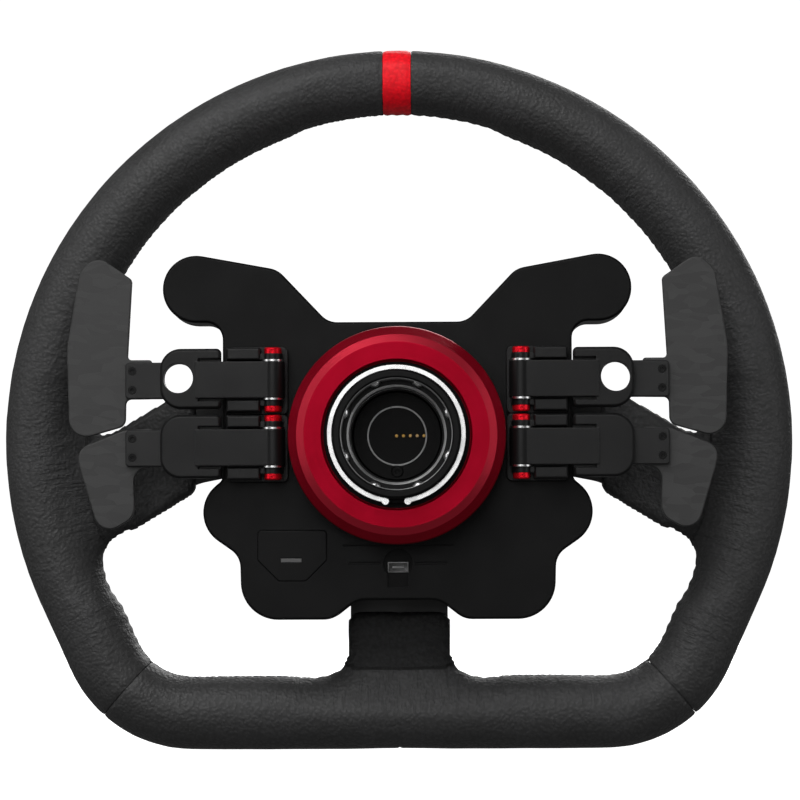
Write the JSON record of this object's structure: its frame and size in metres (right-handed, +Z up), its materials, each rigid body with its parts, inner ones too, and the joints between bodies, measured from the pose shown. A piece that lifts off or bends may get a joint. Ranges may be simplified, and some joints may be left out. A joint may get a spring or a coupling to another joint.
{
  "type": "racing wheel",
  "caption": "D-shaped simulator racing wheel with leather rim, quick-release hub, sprung shift and clutch paddles, buttons and rotary knobs.",
  "frame": {"origin": "on the quick-release axis, at the shoulder where the hub's pilot bore begins", "axes": "-Y along the pilot bore, out of its mouth; +Y points at the driver; +Z up the wheel; +X to the right seen from behind"},
  "size_m": [0.3, 0.075, 0.2677],
  "materials": {
    "core_steel": "plain",
    "foam": "moulded foam",
    "grip_leather": "grained, satin",
    "stripe_leather": "grained, satin",
    "black_anodised": "black anodised, satin",
    "housing_black": "black anodised, fine bead blasted",
    "light_lens": "frosted",
    "circuit_board": "solder mask",
    "socket_steel": "plated",
    "black_screw": "black oxide",
    "hub_black": "black anodised",
    "bright_steel": "polished",
    "insulator": "moulded",
    "gold_contact": "gold plated",
    "spring_steel": "drawn wire",
    "red_anodised_cap": "red anodised",
    "red_anodised": "red anodised, turned",
    "paddle_black": "black anodised, satin",
    "extension_black": "black",
    "forged_carbon": "carbon composite, satin",
    "magnet_nickel": "nickel plated",
    "component_black": "moulded",
    "button_plastic": "moulded, satin",
    "knob_plastic": "black anodised, grooved",
    "cap_plastic": "moulded, satin"
  },
  "bodies": {
    "root": {"rim_core": "core_steel", "spoke_plate": "black_anodised", "rim_foam": "foam", "leather_left": "grip_leather", "leather_right": "grip_leather", "leather_bottom": "grip_leather", "centre_stripe": "stripe_leather", "housing_rear": "housing_black", "module_cover": "housing_black", "status_light": "light_lens", "front_plate": "housing_black", "main_board": "circuit_board", "usb_socket": "socket_steel", "housing_screws": "black_screw", "qr_hub": "hub_black", "locking_balls": "bright_steel", "snap_ring": "bright_steel", "contact_block": "insulator", "contact_pins": "gold_contact", "collar_spring": "spring_steel", "qr_bolts": "black_screw", "hinge_pins": "bright_steel", "hinge_washers": "bright_steel", "pin_caps": "red_anodised_cap", "bracket_magnets": "magnet_nickel", "paddle_sensors": "component_black", "bracket_screws": "black_screw", "button_bezels": "housing_black", "button_switches": "component_black", "encoder_bodies": "component_black", "hub_cap": "cap_plastic", "paddle_bracket_upper_left": "paddle_black", "paddle_bracket_upper_right": "paddle_black", "paddle_bracket_lower_left": "paddle_black", "paddle_bracket_lower_right": "paddle_black"},
    "release_collar": {"qr_collar": "red_anodised"},
    "paddle_upper_left": {"lever_upper_left": "paddle_black", "extension_upper_left": "extension_black", "blade_upper_left": "forged_carbon", "blade_screws_upper_left": "black_screw"},
    "paddle_upper_right": {"lever_upper_right": "paddle_black", "extension_upper_right": "extension_black", "blade_upper_right": "forged_carbon", "blade_screws_upper_right": "black_screw"},
    "paddle_lower_left": {"lever_lower_left": "paddle_black", "extension_lower_left": "extension_black", "blade_lower_left": "forged_carbon", "blade_screws_lower_left": "black_screw"},
    "paddle_lower_right": {"lever_lower_right": "paddle_black", "extension_lower_right": "extension_black", "blade_lower_right": "forged_carbon", "blade_screws_lower_right": "black_screw"},
    "button_outer_left": {"button_outer_left": "button_plastic"},
    "button_outer_right": {"button_outer_right": "button_plastic"},
    "button_inner_left": {"button_inner_left": "button_plastic"},
    "button_inner_right": {"button_inner_right": "button_plastic"},
    "knob_upper_left": {"knob_upper_left": "knob_plastic"},
    "knob_upper_right": {"knob_upper_right": "knob_plastic"},
    "knob_lower_left": {"knob_lower_left": "knob_plastic"},
    "knob_lower_right": {"knob_lower_right": "knob_plastic"}
  },
  "joints": [
    {"name": "collar_slide", "type": "slide", "parent": "root", "child": "release_collar", "axis": [0, 1, 0], "range_m": [0, 0.004], "stiffness_N_per_m": 1500, "springref_m": -0.002, "deforming": ["collar_spring"]},
    {"name": "paddle_upper_left_hinge", "type": "hinge", "parent": "root", "child": "paddle_upper_left", "pos_m": [-0.046, 0.0135, 0.021], "axis": [0, 0, -1], "range_deg": [0, 6], "stiffness_Nm_per_rad": 0.6, "springref_deg": -6.88},
    {"name": "paddle_upper_right_hinge", "type": "hinge", "parent": "root", "child": "paddle_upper_right", "pos_m": [0.046, 0.0135, 0.021], "axis": [0, 0, 1], "range_deg": [0, 6], "stiffness_Nm_per_rad": 0.6, "springref_deg": -6.88},
    {"name": "paddle_lower_left_hinge", "type": "hinge", "parent": "root", "child": "paddle_lower_left", "pos_m": [-0.046, 0.0135, -0.0041], "axis": [0, 0, -1], "range_deg": [0, 12], "stiffness_Nm_per_rad": 0.35, "springref_deg": -6.88},
    {"name": "paddle_lower_right_hinge", "type": "hinge", "parent": "root", "child": "paddle_lower_right", "pos_m": [0.046, 0.0135, -0.0041], "axis": [0, 0, 1], "range_deg": [0, 12], "stiffness_Nm_per_rad": 0.35, "springref_deg": -6.88},
    {"name": "button_outer_left_press", "type": "slide", "parent": "root", "child": "button_outer_left", "axis": [0, -1, 0], "range_m": [0, 0.0015], "stiffness_N_per_m": 900, "springref_m": -0.001},
    {"name": "button_outer_right_press", "type": "slide", "parent": "root", "child": "button_outer_right", "axis": [0, -1, 0], "range_m": [0, 0.0015], "stiffness_N_per_m": 900, "springref_m": -0.001},
    {"name": "button_inner_left_press", "type": "slide", "parent": "root", "child": "button_inner_left", "axis": [0, -1, 0], "range_m": [0, 0.0015], "stiffness_N_per_m": 900, "springref_m": -0.001},
    {"name": "button_inner_right_press", "type": "slide", "parent": "root", "child": "button_inner_right", "axis": [0, -1, 0], "range_m": [0, 0.0015], "stiffness_N_per_m": 900, "springref_m": -0.001},
    {"name": "knob_upper_left_turn", "type": "hinge", "parent": "root", "child": "knob_upper_left", "pos_m": [-0.061, 0.044, -0.0288], "axis": [0, 1, 0], "continuous": true},
    {"name": "knob_upper_right_turn", "type": "hinge", "parent": "root", "child": "knob_upper_right", "pos_m": [0.061, 0.044, -0.0288], "axis": [0, 1, 0], "continuous": true},
    {"name": "knob_lower_left_turn", "type": "hinge", "parent": "root", "child": "knob_lower_left", "pos_m": [-0.0447, 0.044, -0.0551], "axis": [0, 1, 0], "continuous": true},
    {"name": "knob_lower_right_turn", "type": "hinge", "parent": "root", "child": "knob_lower_right", "pos_m": [0.0447, 0.044, -0.0551], "axis": [0, 1, 0], "continuous": true}
  ]
}
